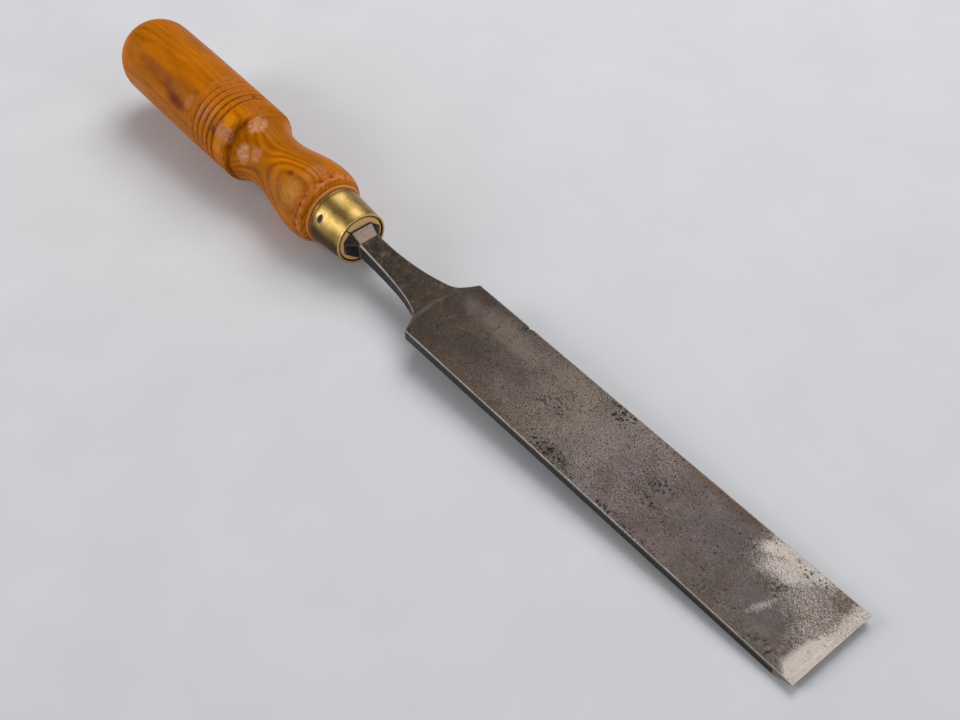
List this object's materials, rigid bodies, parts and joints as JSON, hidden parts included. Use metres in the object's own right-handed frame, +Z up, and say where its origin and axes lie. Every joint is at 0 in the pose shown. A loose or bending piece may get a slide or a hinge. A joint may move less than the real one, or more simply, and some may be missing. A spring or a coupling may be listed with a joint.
{
  "type": "tanged bench chisel",
  "caption": "Wide tanged chisel lying flat back up: parallel steel blade with a waisted neck and octagonal bolster, brass ferrule and a turned varnished handle with ring grooves.",
  "frame": {"origin": "on the bench under the middle of the tool's box as it lies at rest, flat back up", "axes": "+X runs along the tool from the butt of the handle to the cutting edge, +Z is up from the bench, +Y completes the right hand; the tool is symmetric about the XZ plane"},
  "size_m": [0.3578, 0.0318, 0.0383],
  "materials": {
    "forged_steel": "old forged and ground tool steel, grey-brown patina with fine pitting, lapped bright along the cutting edge",
    "varnished_wood": "turned ash under worn amber varnish, open grain with brown growth rings",
    "aged_brass": "drawn brass tube, olive-gold tarnish with soft rubbed highlights"
  },
  "bodies": {
    "root": {"blade": "forged_steel", "handle": "varnished_wood", "ferrule": "aged_brass"}
  },
  "joints": []
}
